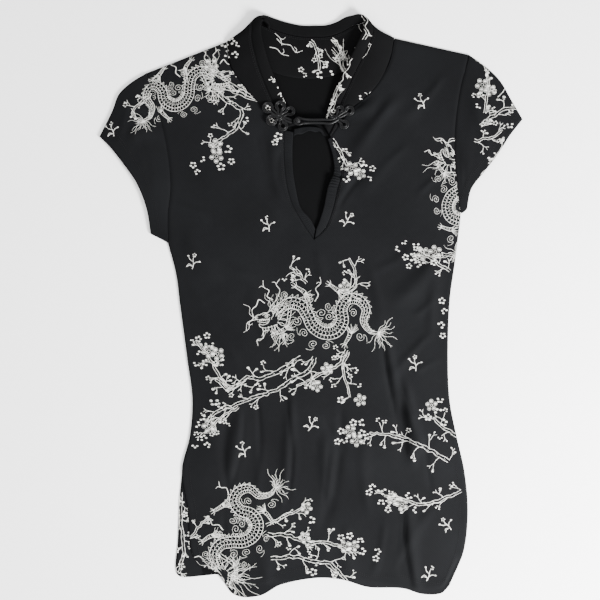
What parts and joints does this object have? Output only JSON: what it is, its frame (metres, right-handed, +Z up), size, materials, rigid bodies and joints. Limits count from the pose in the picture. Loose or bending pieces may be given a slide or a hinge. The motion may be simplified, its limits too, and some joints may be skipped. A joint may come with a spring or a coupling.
{
  "type": "mandarin collar top",
  "caption": "Cap-sleeved mandarin collar top in printed stretch knit, with a keyhole neckline closed by a corded frog, laid flat with the front up.",
  "frame": {"origin": "middle of the garment's footprint, on the surface that it lies on", "axes": "+Y up the garment from the hem to the collar, +X to the right as seen from above, +Z up out of the front"},
  "size_m": [0.487, 0.6706, 0.0138],
  "materials": {
    "printed_knit": "matte black stretch knit, printed in off-white line",
    "band_knit": "matte black stretch knit, folded and topstitched",
    "satin_cord": "black satin cord with a soft gloss"
  },
  "bodies": {
    "root": {"back_panel": "printed_knit", "front_panel": "printed_knit", "sleeve_left": "printed_knit", "sleeve_right": "printed_knit", "collar_stand": "printed_knit", "collar_band": "band_knit", "keyhole_band_left": "band_knit", "keyhole_band_right": "band_knit", "neck_tab": "band_knit", "frog_flower": "satin_cord", "frog_button": "satin_cord", "frog_loop": "satin_cord"}
  },
  "joints": []
}
